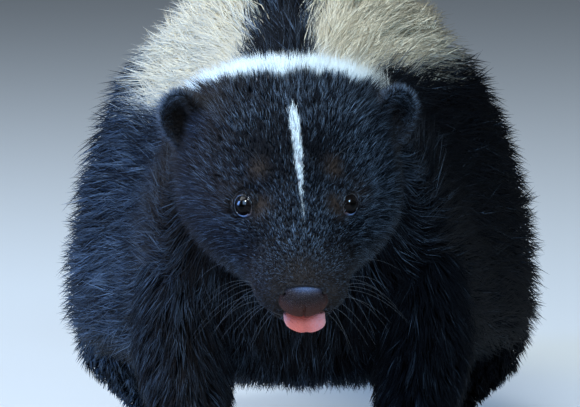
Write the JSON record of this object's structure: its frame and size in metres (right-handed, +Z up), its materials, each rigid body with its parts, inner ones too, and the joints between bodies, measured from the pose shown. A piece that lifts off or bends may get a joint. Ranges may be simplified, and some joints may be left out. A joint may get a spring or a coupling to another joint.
{
  "type": "striped skunk",
  "caption": "Life-size still model of a striped skunk on all fours with its head lowered towards the viewer, tongue tip out, white nape, face stripe and back stripes, bushy tail.",
  "frame": {"origin": "on the floor, under the middle of the model's box", "axes": "+Z up, the animal looks along -Y, its left side is +X"},
  "size_m": [0.1658, 0.5828, 0.1778],
  "materials": {
    "fur": "black guard hair with a soft cool sheen, white on the nape, the face stripe, the back stripes and part of the tail",
    "nose_skin": "moist dark brown-black skin",
    "tongue_skin": "moist pink",
    "eye": "glossy, nearly black brown",
    "claw": "satin horn"
  },
  "bodies": {
    "root": {"head": "fur", "lower_jaw": "fur", "nose": "nose_skin", "tongue": "tongue_skin", "eye_left": "eye", "eye_right": "eye", "ear_left": "fur", "ear_right": "fur", "upper_arm_left": "fur", "forearm_left": "fur", "forefoot_left": "fur", "fore_claw_1_left": "claw", "fore_claw_2_left": "claw", "fore_claw_3_left": "claw", "fore_claw_4_left": "claw", "fore_claw_5_left": "claw", "thigh_left": "fur", "shank_left": "fur", "hind_foot_left": "fur", "hind_claw_1_left": "claw", "hind_claw_2_left": "claw", "hind_claw_3_left": "claw", "hind_claw_4_left": "claw", "hind_claw_5_left": "claw", "upper_arm_right": "fur", "forearm_right": "fur", "forefoot_right": "fur", "fore_claw_1_right": "claw", "fore_claw_2_right": "claw", "fore_claw_3_right": "claw", "fore_claw_4_right": "claw", "fore_claw_5_right": "claw", "thigh_right": "fur", "shank_right": "fur", "hind_foot_right": "fur", "hind_claw_1_right": "claw", "hind_claw_2_right": "claw", "hind_claw_3_right": "claw", "hind_claw_4_right": "claw", "hind_claw_5_right": "claw", "neck": "fur", "chest": "fur", "loin": "fur", "rump": "fur", "tail_root": "fur", "tail_middle": "fur", "tail_tip": "fur"}
  },
  "joints": []
}
